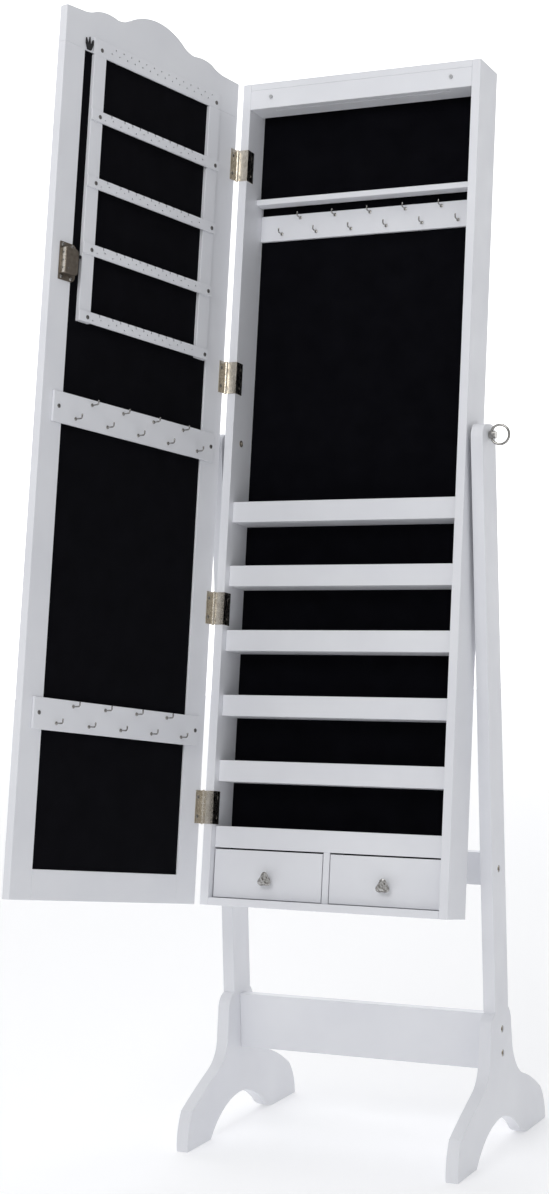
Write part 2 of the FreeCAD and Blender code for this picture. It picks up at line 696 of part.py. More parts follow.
def make_earring_rail(number):
    face = "-pin_forward - felt_recess + strip_board"
    height = "earring_rail_height"
    thick = "earring_rail_board"
    screw_rise = SCREW_RISE
    if number == 0:
        face = "-pin_forward"
        height = "top_earring_height"
        thick = "top_earring_board"
        screw_rise = TOP_SCREW_RISE
    base = "top_earring_rail - %d * earring_pitch" % number
    rail = board("earring_rail_%d" % (number + 1), DOOR, ("rail_near", face, base),
                 ("rail_far - rail_near", thick, height))
    centres = [(s, earring_rail_base(number) + screw_rise) for s in EARRING_SCREWS]
    drill(rail, "XZ_Plane", "-(" + face + ") - " + thick, centres, "screw_bore", thick)
    if number == 0:
        return
    lone = new_slot(rail, "lone_slot", face, base + " + " + height)
    pocket(rail, lone, "slot_depth")
    notch = new_slot(rail, "first_slot", face, base + " + " + height)
    cut = pocket(rail, notch, "slot_depth")
    row = rail.newObject("PartDesign::LinearPattern", "Slots")
    row.Originals = [cut]
    row.Direction = (notch, ["H_Axis"])
    row.setExpression("Length", linked("(slot_count - 1) * slot_pitch"))
    row.setExpression("Occurrences", linked("slot_count"))
    rail.Tip = row
    doc.recompute()


def new_slot(rail, place, face, top):
    """The plan of one slot in a rail's upper edge, centred on its place."""
    sketch = new_sketch(rail, "XY_Plane", (place + " - slot_width / 2", face + " - 1", top))
    add_rectangle(sketch, "slot_width", "earring_rail_board + 2")
    return sketch


def make_hook_rails():
    rails = (("hook_rail_upper", "upper_hook_rail"), ("hook_rail_lower", "lower_hook_rail"))
    for label, base in rails:
        rail = board(label, DOOR, ("hook_rail_near", "-pin_forward", base),
                     ("hook_rail_far - hook_rail_near", "hook_rail_board", "hook_rail_height"))
        centres = [(s, dim(base) + dim("hook_rail_height") * 0.52) for s in HOOK_RAIL_SCREWS]
        drill(rail, "XZ_Plane", "pin_forward - hook_rail_board", centres, "screw_bore",
              "hook_rail_board")
        drill(rail, "XZ_Plane", "pin_forward - hook_rail_board",
              [(s, dim(base) + z) for s, z in door_hook_places()], "screw_bore",
              "hook_rail_board")


def door_hook_places():
    """Two staggered rows of hooks on a hook rail, as (s, height on the rail)."""
    pitch = dim("hook_pitch")
    upper = [(85 + pitch * n, 32) for n in range(4)]
    lower = [(54.5 + pitch * n, 9.4) for n in range(5)]
    return upper + lower


# ---------------------------------------------------------------- hooks and screws

def wire_hook(place, out, depth):
    """A square-bent hook: a collar, a shank straight out and a tip that turns up."""
    wire = dim("hook_wire")
    reach = dim("hook_reach")
    up = V(0, 0, 1)
    corner = place + out * reach
    shank = rod(wire, reach + depth, place - out * depth, out)
    tip = rod(wire, dim("hook_rise"), corner, up)
    bend = Part.makeSphere(wire / 2, corner)
    end = Part.makeSphere(wire / 2, corner + up * dim("hook_rise"))
    collar = rod(dim("hook_collar"), 1, place, out)
    return shank.fuse([tip, bend, end, collar])


def screw(place, out, depth):
    """A pan-head screw whose head rests on the given place."""
    head = rod(dim("screw_head"), dim("screw_head_height"), place, out)
    shank = rod(dim("screw_shank"), depth, place, -out)
    return head.fuse(shank)


def make_hooks():
    inward = V(0, -1, 0)
    rail_face = (FRONT + dim("cabinet_depth") - dim("back_board") - dim("back_felt_board")
                 - dim("necklace_rail_board"))
    depth = dim("necklace_rail_board") - 2.5
    hooks = [wire_hook(V(x, rail_face, z), inward, depth) for x, z in necklace_hook_places()]
    group("necklace_hooks", CABINET, hooks)
    out = V(0, 1, 0)
    rail_face = -dim("pin_forward") + dim("hook_rail_board")
    hooks = []
    for base in hook_rail_bases():
        for s, rise in door_hook_places():
            hooks.append(wire_hook(V(s, rail_face, base + rise), out, 3))
    group("door_hooks", DOOR, hooks)


def make_screws():
    out = V(0, 1, 0)
    inner_face = -dim("pin_forward")
    screws = []
    for number in range(5):
        face = inner_face + dim("top_earring_board")
        rise = TOP_SCREW_RISE
        depth = 10
        if number:
            face = (inner_face - dim("felt_recess") + dim("strip_board")
                    + dim("earring_rail_board"))
            rise = SCREW_RISE
            depth = dim("earring_rail_board") + dim("strip_board") - 0.5
        for s in EARRING_SCREWS:
            screws.append(screw(V(s, face, earring_rail_base(number) + rise), out, depth))
    face = inner_face + dim("hook_rail_board")
    for base in hook_rail_bases():
        for s in HOOK_RAIL_SCREWS:
            place = V(s, face, base + dim("hook_rail_height") * 0.52)
            screws.append(screw(place, out, 11))
    for s, z in lock_screw_places():
        screws.append(screw(V(s, inner_face + dim("lock_plate"), z), out, 9.5))
    low = dim("screw_head_height") * 0.3
    face = inner_face + dim("hinge_leaf")
    for z in hinge_screw_heights():
        screws.append(hinge_screw(V(DOOR_HINGE_SCREW, face, z), out, low))
    group("door_screws", DOOR, screws)
    wall = -dim("cabinet_width") / 2 + dim("panel") + dim("hinge_leaf")
    group("hinge_cabinet_screws", CABINET, [
        hinge_screw(V(wall, FRONT + CAB_SCREW_DEPTH, z), V(1, 0, 0), low * 2)
        for z in hinge_screw_heights()])


def hinge_screw(place, out, proud):
    """A low-headed screw that holds a hinge leaf."""
    head = rod(4.6, proud, place, out)
    shank = rod(dim("screw_shank"), 8.5, place, -out)
    return head.fuse(shank)


# ---------------------------------------------------------------- hinges

def knuckles(numbers):
    """Some of a hinge's five knuckles, as heights above the hinge's foot."""
    step = dim("hinge_height") / 5
    gap = dim("knuckle_gap") / 2
    return [(n * step + gap, step - 2 * gap) for n in numbers]


def hinge_leaf(foot, plates, numbers):
    """Plates and knuckles round the pin, bored for it; the pin stands at the origin."""
    leaf = None
    for low, length in knuckles(numbers):
        knuckle = rod(dim("knuckle"), length, V(0, 0, foot + low), V(0, 0, 1))
        tongue = plates[0](foot + low, length)
        piece = knuckle.fuse(tongue)
        leaf = piece if leaf is None else leaf.fuse(piece)
    for plate in plates[1:]:
        leaf = leaf.fuse(plate(foot, dim("hinge_height")))
    bore = rod(dim("pin_bore"), dim("hinge_height") + 2, V(0, 0, foot - 1), V(0, 0, 1))
    return leaf.cut(bore)


def flat(x, y, width, depth):
    """A maker of upright plates with the given plan."""
    def plate(base, height):
        return Part.makeBox(width, depth, height, V(x, y, base))
    return plate


def with_holes(leaf, centres, across):
    """Clearance holes for the screws, bored right through along one direction."""
    for centre in centres:
        leaf = leaf.cut(rod(dim("screw_bore"), 6, centre - across * 3, across))
    return leaf


def make_hinges():
    thick = dim("hinge_leaf")
    edge = dim("pin_out") + dim("panel")
    front_y = dim("pin_forward") - thick
    clear = 2.2
    cabinet_leaves = []
    door_leaves = []
    pins = []
    shift = V(PIN_X, PIN_Y, 0)
    for centre in HINGE_CENTRES:
        foot = centre - dim("hinge_height") / 2
        screws = [centre - HINGE_SCREW_RISE, centre + HINGE_SCREW_RISE]
        leaf = hinge_leaf(foot, [
            flat(0, front_y, clear + 0.2, thick),
            flat(clear, front_y, edge - clear + thick, thick),
            flat(edge, front_y, thick, dim("hinge_wrap")),
        ], (1, 3))
        wall_y = dim("pin_forward") + CAB_SCREW_DEPTH
        leaf = with_holes(leaf, [V(edge, wall_y, z) for z in screws], V(1, 0, 0))
        leaf.translate(shift)
        cabinet_leaves.append(leaf)
        inner_y = -dim("pin_forward")
        leaf = hinge_leaf(foot, [
            flat(0, inner_y, clear + 0.2, thick),
            flat(clear, inner_y, dim("door_leaf") - clear, thick),
        ], (0, 2, 4))
        leaf = with_holes(leaf, [V(DOOR_HINGE_SCREW, inner_y, z) for z in screws], V(0, 1, 0))
        door_leaves.append(leaf)
        pins.append(rod(dim("hinge_pin"), dim("hinge_height") + 1, shift + V(0, 0, foot - 0.5),
                        V(0, 0, 1)))
    group("hinge_cabinet_leaves", CABINET, cabinet_leaves)
    group("hinge_door_leaves", DOOR, door_leaves)
    group("hinge_pins", CABINET, pins)


# ---------------------------------------------------------------- lock

def lock_middle():
    return dim("lock_base") + dim("lock_plate_height") / 2


def lock_plug_place():
    return (dim("lock_near") + dim("lock_plate_width") / 2, lock_middle())


SCREW_TO_OPENING = 1.7


def lock_screw_places():
    near = dim("lock_near")
    width = dim("lock_plate_width")
    base = dim("lock_base")
    height = dim("lock_plate_height")
    edge = dim("lock_screw_edge")
    near_edge = dim("opening_far") - near + SCREW_TO_OPENING
    return [(near + a, base + b) for a in (near_edge, width - edge)
            for b in (edge, height - edge)]


def round_corners(box, side, radius):
    """Round the two corners of a box that stand on its side nearer the glass."""
    corners = []
    for edge in box.Edges:
        bounds = edge.BoundBox
        if bounds.YLength > 1 and bounds.XLength < 0.001 and abs(bounds.XMin - side) < 0.001:
            corners.append(edge)
    return box.makeFillet(radius, corners)


def make_lock():
    """A surface lock on the lock stile: case, key plug and a bolt that slides sideways."""
    face = -dim("pin_forward")
    near = dim("lock_near")
    width = dim("lock_plate_width")
    plate = Part.makeBox(width, dim("lock_plate"), dim("lock_plate_height"),
                         V(near, face, dim("lock_base")))
    plate = round_corners(plate, near, dim("plate_corner"))
    inset = dim("lock_case_inset")
    case_height = dim("lock_case_height")
    case_base = lock_middle() - case_height / 2
    case = Part.makeBox(width - 2 * inset, dim("lock_case_depth"), case_height,
                        V(near + inset, face, case_base))
    case = round_corners(case, near + inset, dim("case_corner"))
    case = case.makeFillet(1.2, [edge for edge in case.Edges if edge.BoundBox.YMin > face + 1])
    s, z = lock_plug_place()
    barrel = rod(dim("plug_bore") + 3.6, dim("door_board") + 0.5, V(s, face + 0.5, z), V(0, -1, 0))
    rosette = rod(19, 1.2, V(s, face - dim("door_board"), z), V(0, -1, 0))
    body = plate.fuse([case, barrel, rosette])
    bore = rod(dim("plug_bore"), dim("door_board") + 6, V(s, face + 3, z), V(0, -1, 0))
    clear = 0.3
    bolt_y = face + dim("lock_plate") + dim("bolt_lift")
    tunnel = Part.makeBox(width, dim("bolt_thick") + 2 * clear, dim("bolt_height") + 2 * clear,
                          V(near + inset + 2, bolt_y - clear, z - dim("bolt_height") / 2 - clear))
    body = body.cut([bore, tunnel])
    body = with_holes(body, [V(a, face, b) for a, b in lock_screw_places()], V(0, 1, 0))
    case_feature = doc.addObject("Part::Feature", "Case")
    case_feature.Shape = body
    keep(case_feature, "lock_case", DOOR)
    bolt = doc.addObject("Part::Box", "Bolt")
    bolt.setExpression("Length", linked("lock_plate_width - 2 * lock_case_inset - 2.5"))
    bolt.setExpression("Width", linked("bolt_thick"))
    bolt.setExpression("Height", linked("bolt_height"))
    local = FreeCAD.Placement(V(near + inset + 2.6, bolt_y, z - dim("bolt_height") / 2),
                              FreeCAD.Rotation())
    keep(bolt, "lock_bolt", DOOR * local)
    plug = rod(dim("plug_width"), dim("door_board") + 3, V(s, face + 1.2, z), V(0, -1, 0))
    rim = rod(11, 1, V(s, face - dim("door_board") - 1.5, z), V(0, -1, 0))
    keyway = Part.makeBox(1.6, 8, 6, V(s - 0.8, face - dim("door_board") - 4, z - 3))
    group("lock_plug", DOOR, [plug.fuse(rim).cut(keyway)])


def make_band_hook():
    """A flat black hook with three prongs, at the top of the gap beside the rack."""
    thick = dim("band_hook_board")
    half = dim("band_hook_width") / 2
    height = dim("band_hook_height")
    palm = height * 0.45
    outline = [(-half * 0.5, 0), (half * 0.5, 0), (half, palm), (half * 0.95, height * 0.86),
               (half * 0.5, palm), (half * 0.18, palm * 1.1), (0, height),
               (-half * 0.18, palm * 1.1), (-half * 0.5, palm), (-half * 0.95, height * 0.86),
               (-half, palm)]
    corner = V(dim("band_hook_place"), -dim("pin_forward"),
               dim("opening_top") + dim("band_hook_rise"))
    points = [corner + V(x, 0, z) for x, z in outline + outline[:1]]
    plate = Part.Face(Part.makePolygon(points)).extrude(V(0, thick, 0))
    group("band_hook", DOOR, [plate])


def check_and_export():
    doc.recompute()
    for thing in doc.Objects:
        if "Invalid" in thing.State or "Error" in thing.State:
            raise RuntimeError("failed: " + thing.Label)
    for thing in SUBPARTS:
        if thing.Shape.isNull() or not thing.Shape.isValid():
            raise RuntimeError("bad shape: " + thing.Label)
    for thing in SUBPARTS:
        thing.Shape.exportStep("parts/" + thing.Label + ".step")
        print(thing.Label, len(thing.Shape.Solids), round(thing.Shape.Volume / 1000, 2))
    print(len(SUBPARTS), "sub-parts")


make_stand()
make_pivots()
make_side_panel("left_side_panel", -1)
make_side_panel("right_side_panel", 1)
make_top()
make_back()
make_shelves()
make_bumpers()
make_drawer("left", -1)
make_drawer("right", 1)
make_door_frame()
make_door_panels()
make_rack()
make_hook_rails()
make_hooks()
make_screws()
make_hinges()
make_lock()
make_band_hook()
check_and_export()
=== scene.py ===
import json
import math

import bmesh
import bpy
from mathutils import Matrix, Vector


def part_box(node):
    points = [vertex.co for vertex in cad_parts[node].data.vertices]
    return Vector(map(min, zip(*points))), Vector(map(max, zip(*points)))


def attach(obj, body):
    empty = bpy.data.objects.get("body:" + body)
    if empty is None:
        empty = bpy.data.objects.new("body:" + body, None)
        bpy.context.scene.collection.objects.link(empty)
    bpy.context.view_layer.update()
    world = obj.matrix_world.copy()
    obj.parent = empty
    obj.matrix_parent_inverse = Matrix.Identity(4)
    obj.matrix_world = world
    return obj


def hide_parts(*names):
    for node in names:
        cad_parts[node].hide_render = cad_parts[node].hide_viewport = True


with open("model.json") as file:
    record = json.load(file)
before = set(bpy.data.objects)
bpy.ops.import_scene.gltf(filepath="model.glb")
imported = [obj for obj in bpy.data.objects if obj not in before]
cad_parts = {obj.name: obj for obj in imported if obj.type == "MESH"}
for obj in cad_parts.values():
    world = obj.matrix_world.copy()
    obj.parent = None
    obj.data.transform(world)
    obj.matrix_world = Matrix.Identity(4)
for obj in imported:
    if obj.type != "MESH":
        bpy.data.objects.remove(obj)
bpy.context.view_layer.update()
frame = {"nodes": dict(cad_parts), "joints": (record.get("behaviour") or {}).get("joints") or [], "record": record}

# A white jewelry armoire: a shallow cabinet that tilts on a two-footed stand, its door open.
# Metres, +Z up, -Y towards the front. Sizes below are in millimetres and go through MM.

MM = 0.001
SCENE = bpy.context.scene

# Places on the door, from the hinge pin towards the lock, and heights from the pivot axis.
DOOR_INNER_FACE = -1.3
HOOK_RAIL_FACE = 2.2
HOOK_RAIL_BASES = (-33, -410)
HOOK_RAIL_HEIGHT = 39
HOOK_RAIL_SCREWS = (26.3, 320.7)
HOOK_PITCH = 58.8
UPPER_HOOKS = (85, 32, 4)
LOWER_HOOKS = (54.5, 9.4, 5)
EARRING_SCREWS = (52, 282)
TOP_RAIL_BASE = 446.6
RAIL_PITCH = 86.5
TOP_RAIL_FACE = 0.7
RAIL_FACE = 4.5
SCREW_RISE = 6.5
TOP_SCREW_RISE = 8.5
SLOT_PITCH = 14.9
FIRST_SLOT = 100.8
TOP_HOLES_START = 62
TOP_HOLES_PER_ROW = 14
TOP_HOLE_RISES = (16.5, 10)
LOW_HOLES_PER_ROW = 7
LOW_HOLE_RISES = (7.6, 4.4)
HINGE_CENTRES = (381, 86, -226, -488)
HINGE_SCREW_RISE = 12.5
HINGE_HEIGHT = 43
DOOR_HINGE_SCREW = 9.5
LOCK_NEAR = 305
LOCK_WIDTH = 29
LOCK_BASE = 145.5
LOCK_HEIGHT = 48
LOCK_PLATE = 1.5
LOCK_CASE_DEPTH = 9.5
LOCK_CASE_INSET = 3
LOCK_CASE_HEIGHT = 34
LOCK_SCREWS = (7.7, 25)
LOCK_SCREW_EDGE = 4
NUB_PLACE = (298.2, 181)
FELT_FACE = -3.9

# Places in the cabinet: x from its middle, y from the pivot, heights from the pivot axis.
NECKLACE_RAIL_FACE = 27
NECKLACE_RAIL_BASE = 287
UPPER_NECKLACE_HOOKS = (1.4, 30.5)
LOWER_NECKLACE_HOOKS = (0.2, 9.5)
NECKLACE_PITCH = 51.6
CABINET_WALL = -160
CABINET_SCREW_Y = -13
DRAWER_FACE = -13.4
KNOB_HEIGHT = -578
KNOB_X = 82.75

STAND_BOLT_HEIGHTS = (123, 154, 360)

HOOK_REACH = 11
HOOK_RISE = 4.8
HOOK_WIRE = 1.9
HOLE_WIDTH = 2.4


def joint(name):
    for found in frame["joints"]:
        if found["name"] == name:
            return found
    raise KeyError(name)


def placed(origin, x_axis, z_axis):
    """The matrix of a frame from its origin and two of its axes."""
    x_axis = Vector(x_axis).normalized()
    z_axis = Vector(z_axis).normalized()
    y_axis = z_axis.cross(x_axis)
    matrix = Matrix((x_axis, y_axis, z_axis)).transposed().to_4x4()
    matrix.translation = Vector(origin)
    return matrix


HINGE_AXIS = -Vector(joint("door_swing")["axis"])
CABINET = placed(joint("cabinet_tilt")["pos_m"], (1, 0, 0), HINGE_AXIS)
DOOR = placed(joint("door_swing")["pos_m"], joint("bolt_slide")["axis"], HINGE_AXIS)
STAND = Matrix.Identity(4)


# ---------------------------------------------------------------- materials

def linear(hex_code):
    """An sRGB hex colour as linear red, green, blue and alpha."""
    channels = []
    for start in (1, 3, 5):
        value = int(hex_code[start:start + 2], 16) / 255
        channels.append(value / 12.92 if value <= 0.04045 else ((value + 0.055) / 1.055) ** 2.4)
    return (*channels, 1.0)


def add_node(tree, kind, inputs=None, links=None, **settings):
    """Adds one node, with its settings, its input values and what is linked into it."""
    made = tree.nodes.new(kind)
    for name, value in settings.items():
        setattr(made, name, value)
    for name, value in (inputs or {}).items():
        made.inputs[name].default_value = value
    for name, source in (links or {}).items():
        tree.links.new(source, made.inputs[name])
    return made


def new_material(name, **values):
    """A material with one Principled shader, and that shader's constants."""
    material = bpy.data.materials.new(name)
    material.use_nodes = True
    tree = material.node_tree
    tree.nodes.clear()
    shader = add_node(tree, "ShaderNodeBsdfPrincipled")
    for socket, value in values.items():
        shader.inputs[socket.replace("_", " ")].default_value = value
    add_node(tree, "ShaderNodeOutputMaterial", links={"Surface": shader.outputs[0]})
    return material, tree, shader


def grain(tree, spacing_mm, stretch=(1, 1, 1), detail=3.0, roughness=0.55):
    """Noise over the piece whose blobs are about spacing_mm apart."""
    place = add_node(tree, "ShaderNodeTexCoord")
    turned = add_node(tree, "ShaderNodeMapping", {"Scale": stretch},
                      {"Vector": place.outputs["Object"]})
    size = 1 / (spacing_mm * MM)
    return add_node(tree, "ShaderNodeTexNoise",
                    {"Scale": size, "Detail": detail, "Roughness": roughness},
                    {"Vector": turned.outputs[0]}).outputs["Fac"]


def tint(tree, shader, factor, low, high):
    """Base colour that drifts between two tones."""
    ramp = add_node(tree, "ShaderNodeValToRGB", links={"Fac": factor})
    ramp.color_ramp.elements[0].position = 0.3
    ramp.color_ramp.elements[1].position = 0.7
    ramp.color_ramp.elements[0].color = linear(low)
    ramp.color_ramp.elements[1].color = linear(high)
    tree.links.new(ramp.outputs["Color"], shader.inputs["Base Color"])


def polish(tree, shader, factor, low, high):
    """Roughness that drifts between two values."""
    spread = add_node(tree, "ShaderNodeMapRange",
                      {"From Min": 0.3, "From Max": 0.7, "To Min": low, "To Max": high},
                      {"Value": factor})
    tree.links.new(spread.outputs["Result"], shader.inputs["Roughness"])


def relief(tree, shader, height, depth_mm, strength):
    bump = add_node(tree, "ShaderNodeBump", {"Strength": strength, "Distance": depth_mm * MM},
                    {"Height": height})
    tree.links.new(bump.outputs["Normal"], shader.inputs["Normal"])


def satin_lacquer():
    """Sprayed white lacquer on fibreboard: even and satin, with a faint orange peel.

    The peel is really 0.5 mm apart; it is drawn at 2.2 mm so that it shows."""
    material, tree, shader = new_material("satin_white_lacquer", Specular_IOR_Level=0.42)
    tint(tree, shader, grain(tree, 120), "#E2E3E8", "#E9EAEE")
    polish(tree, shader, grain(tree, 35), 0.36, 0.5)
    relief(tree, shader, grain(tree, 2.2, detail=2.0), 0.05, 0.22)
    return material


def faced_hardboard():
    """White-faced hardboard: flat and duller than the lacquer, with a pressed fibre grain."""
    material, tree, shader = new_material("faced_hardboard", Specular_IOR_Level=0.3)
    tint(tree, shader, grain(tree, 9, stretch=(1, 1, 0.3)), "#CFD0D3", "#DADBDD")
    polish(tree, shader, grain(tree, 12), 0.62, 0.78)
    relief(tree, shader, grain(tree, 1.6, detail=5.0), 0.08, 0.12)
    return material


def black_flock():
    """Short nylon flock on board: nearly black, with a soft sheen and a stippled nap.

    The fibres are 0.1 mm apart; the stipple is drawn at 1.1 mm so that it shows."""
    material, tree, shader = new_material(
        "black_flock", Roughness=0.95, Specular_IOR_Level=0.05, Sheen_Weight=0.02,
        Sheen_Roughness=0.5)
    tint(tree, shader, grain(tree, 28, detail=6.0), "#050509", "#0A0A0F")
    relief(tree, shader, grain(tree, 1.1, detail=4.0, roughness=0.7), 0.25, 0.5)
    return material


def warm_nickel():
    """Nickel-plated steel strip: warm grey, with fine rolling lines along its length."""
    material, tree, shader = new_material("warm_nickel_plate", Metallic=1.0)
    tint(tree, shader, grain(tree, 6), "#C9C1B3", "#E0D9CD")
    polish(tree, shader, grain(tree, 0.7, stretch=(1, 1, 0.06)), 0.2, 0.3)
    relief(tree, shader, grain(tree, 0.5, stretch=(1, 1, 0.05)), 0.02, 0.08)
    return material


def bright_nickel():
    """Barrel-plated bright wire: clear reflections with slight pitting. Its base colour is darkened to a grey that
    paints in the dark reflections of its surroundings.
    """
    material, tree, shader = new_material("bright_nickel_wire", Metallic=1.0)
    # painted reflection: the grey base stands for the dark surroundings that bright nickel reflects
    tint(tree, shader, grain(tree, 3), "#8C8A87", "#B8B6B2")
    polish(tree, shader, grain(tree, 1.5), 0.1, 0.22)
    return material


def highlight_nickel_strip():
    """Polished nickel strip, pale cream and lightly brushed: its pale tone also paints the highlight on the lock
    case's lit side face.
    """
    material, tree, shader = new_material("polished_nickel_strip", Metallic=0.9)
    tint(tree, shader, grain(tree, 5), "#D9D2C4", "#EAE4D8")
    polish(tree, shader, grain(tree, 1, stretch=(1, 1, 0.1)), 0.18, 0.3)
    return material


def shaded_screw_grey():
    """Darkened grey metal for screw heads and rivets, with a slightly rough cross recess: the dark tone paints the
    shade of the recesses that the rail screws sit in.
    """
    material, tree, shader = new_material("dark_zinc_plate", Metallic=1.0)
    tint(tree, shader, grain(tree, 1.2), "#6E6C6A", "#8F8D8B")
    polish(tree, shader, grain(tree, 0.8), 0.28, 0.45)
    return material


def pewter_case():
    """Die-cast zinc alloy with a dark pewter plate: brown-grey, softly cast."""
    material, tree, shader = new_material("dark_pewter_plate", Metallic=0.85)
    tint(tree, shader, grain(tree, 5), "#665E55", "#7F766B")
    polish(tree, shader, grain(tree, 2.5), 0.3, 0.46)
    relief(tree, shader, grain(tree, 1.2), 0.05, 0.25)
    return material


def turned_brass():
    """Turned brass: yellow, with fine lathe lines."""
    material, tree, shader = new_material("turned_brass", Metallic=1.0)
    tint(tree, shader, grain(tree, 3), "#B39A63", "#C9B27C")
    polish(tree, shader, grain(tree, 0.4, stretch=(1, 1, 0.1)), 0.22, 0.34)
    return material


def silvered_glass():
    """Float glass with silver behind it: a mirror with a very faint haze."""
    material, tree, shader = new_material("silvered_float_glass", Metallic=1.0)
    tint(tree, shader, grain(tree, 200), "#EFF3F2", "#F4F7F6")
    polish(tree, shader, grain(tree, 60), 0.005, 0.03)
    return material


def cut_crystal():
    """Pressed crystal glass with a foiled back. Its base colour swings between near black and near white in
    patches, which paint the bright and dark reflections in its facets.
    """
    material, tree, shader = new_material(
        "cut_crystal", IOR=1.54, Transmission_Weight=0.5, Metallic=0.25)
    # painted reflections: noise patches of near black and near white stand for what the facets reflect
    tint(tree, shader, grain(tree, 3, detail=1.0), "#6B665F", "#F4F3F1")
    polish(tree, shader, grain(tree, 3), 0.01, 0.06)
    return material


def milky_nylon():
    """Moulded natural nylon: off-white and slightly waxy."""
    material, tree, shader = new_material(
        "natural_nylon", Subsurface_Weight=0.1, Subsurface_Scale=0.002)
    tint(tree, shader, grain(tree, 8), "#D3D3CF", "#DEDEDA")
    polish(tree, shader, grain(tree, 2), 0.35, 0.5)
    relief(tree, shader, grain(tree, 1), 0.03, 0.2)
    return material


def soft_vinyl():
    """Clear soft vinyl dot: greyish, half shiny."""
    material, tree, shader = new_material("soft_vinyl_dot", Transmission_Weight=0.25, IOR=1.5)
    tint(tree, shader, grain(tree, 2), "#B5B6B8", "#C9CACC")
    polish(tree, shader, grain(tree, 1), 0.3, 0.5)
    return material


def black_plastic():
    """Moulded black plastic with a fine spark-eroded texture."""
    material, tree, shader = new_material("moulded_black_plastic", Specular_IOR_Level=0.4)
    tint(tree, shader, grain(tree, 4), "#0F0F12", "#17171B")
    polish(tree, shader, grain(tree, 1), 0.5, 0.7)
    relief(tree, shader, grain(tree, 0.6), 0.04, 0.35)
    return material


FINISHES = {
    "painted_board": satin_lacquer(),
    "hardboard": faced_hardboard(),
    "black_felt": black_flock(),
    "lined_tray": black_flock(),
    "mirror": silvered_glass(),
    "bright_steel": bright_nickel(),
    "nickel_plate": warm_nickel(),
    "pewter_metal": pewter_case(),
    "lock_brass": turned_brass(),
    "clear_plastic": milky_nylon(),
    "soft_pad": soft_vinyl(),
    "black_plastic": black_plastic(),
    "cut_glass": cut_crystal(),
}
# dark screw grey: paints the shade of the recesses around the rail screw heads; the lock rivets use it too
SHADED_SCREW_GREY = shaded_screw_grey()
# pale strip tone: paints the highlight on the lit side face of the lock case
HIGHLIGHT_NICKEL_STRIP = highlight_nickel_strip()


def finish_cad_nodes():
    """Gives each CAD node the material of its slot."""
    for subpart in frame["record"]["subparts"]:
        node = frame["nodes"][subpart["node"]]
        node.data.materials.clear()
        node.data.materials.append(FINISHES[subpart["material_slot"]])


# ---------------------------------------------------------------- meshes

def lathe(profile, segments=32):
    """A turned mesh about +Z from (radius, height) pairs in millimetres, closed at both ends."""
    shape = bmesh.new()
    rings = []
    for radius, height in profile:
        if radius == 0:
            rings.append([shape.verts.new((0, 0, height * MM))])
            continue
        ring = []
        for step in range(segments):
            angle = 2 * math.pi * step / segments
            ring.append(shape.verts.new(
                (radius * MM * math.cos(angle), radius * MM * math.sin(angle), height * MM)))
        rings.append(ring)
    for low, high in zip(rings, rings[1:]):
        for step in range(segments):
            after = (step + 1) % segments
            corners = []
            for ring, index in ((low, step), (low, after), (high, after), (high, step)):
                vertex = ring[index % len(ring)]
                if vertex not in corners:
                    corners.append(vertex)
            if len(corners) > 2:
                shape.faces.new(corners)
    for ring in (rings[0], rings[-1]):
        if len(ring) > 1:
            shape.faces.new(ring)
    bmesh.ops.recalc_face_normals(shape, faces=shape.faces)
    mesh = bpy.data.meshes.new("lathe")
    shape.to_mesh(mesh)
    shape.free()
    return mesh


def box(low, high, bevel=0.0):
    """A box between two corners in millimetres, its edges rounded by bevel."""
    shape = bmesh.new()
    bmesh.ops.create_cube(shape, size=1)
    for vertex in shape.verts:
        for axis in range(3):
            middle = (low[axis] + high[axis]) / 2
            vertex.co[axis] = (middle + vertex.co[axis] * (high[axis] - low[axis])) * MM
    if bevel:
        bmesh.ops.bevel(shape, geom=list(shape.edges), offset=bevel * MM, segments=3,
                        profile=0.5, affect="EDGES")
    mesh = bpy.data.meshes.new("box")
    shape.to_mesh(mesh)
    shape.free()
    return mesh


def wire(points, width):
    """A round wire with closed ends along points in millimetres."""
    curve = bpy.data.curves.new("wire", "CURVE")
    curve.dimensions = "3D"
    curve.bevel_depth = width / 2 * MM
    curve.bevel_resolution = 3
    curve.use_fill_caps = True
    spline = curve.splines.new("POLY")
    spline.points.add(len(points) - 1)
    for point, place in zip(spline.points, points):
        point.co = (*(value * MM for value in place), 1)
    holder = bpy.data.objects.new("wire", curve)
    SCENE.collection.objects.link(holder)
    bpy.context.view_layer.update()
    mesh = bpy.data.meshes.new_from_object(
        holder.evaluated_get(bpy.context.evaluated_depsgraph_get()))
    bpy.data.objects.remove(holder)
    return mesh


def joined(meshes):
    """Several meshes as one."""
    shape = bmesh.new()
    for mesh in meshes:
        shape.from_mesh(mesh)
    for face in shape.faces:
        face.material_index = 0
    mesh = bpy.data.meshes.new("joined")
    shape.to_mesh(mesh)
    shape.free()
    return mesh


def moved(mesh, place, turn=(0, 0, 0)):
    """The mesh turned by three angles in degrees and moved to a place in millimetres."""
    for axis, angle in zip("XYZ", turn):
        mesh.transform(Matrix.Rotation(math.radians(angle), 4, axis))
    mesh.transform(Matrix.Translation(Vector(place) * MM))
    return mesh


def add_piece(name, mesh, place, body, slot, material=None, stands_for=(), sharp=35):
    """Puts a finished mesh in the scene, in its frame's place, riding on its body."""
    mesh.transform(place)
    mesh.materials.clear()
    mesh.materials.append(material or FINISHES[slot])
    if sharp:
        mesh.shade_smooth()
        mesh.set_sharp_from_angle(angle=math.radians(sharp))
    mesh.name = name
    piece = bpy.data.objects.new(name, mesh)
    SCENE.collection.objects.link(piece)
    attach(piece, body)
    if stands_for:
        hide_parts(*stands_for)
    return piece


# ---------------------------------------------------------------- repeats

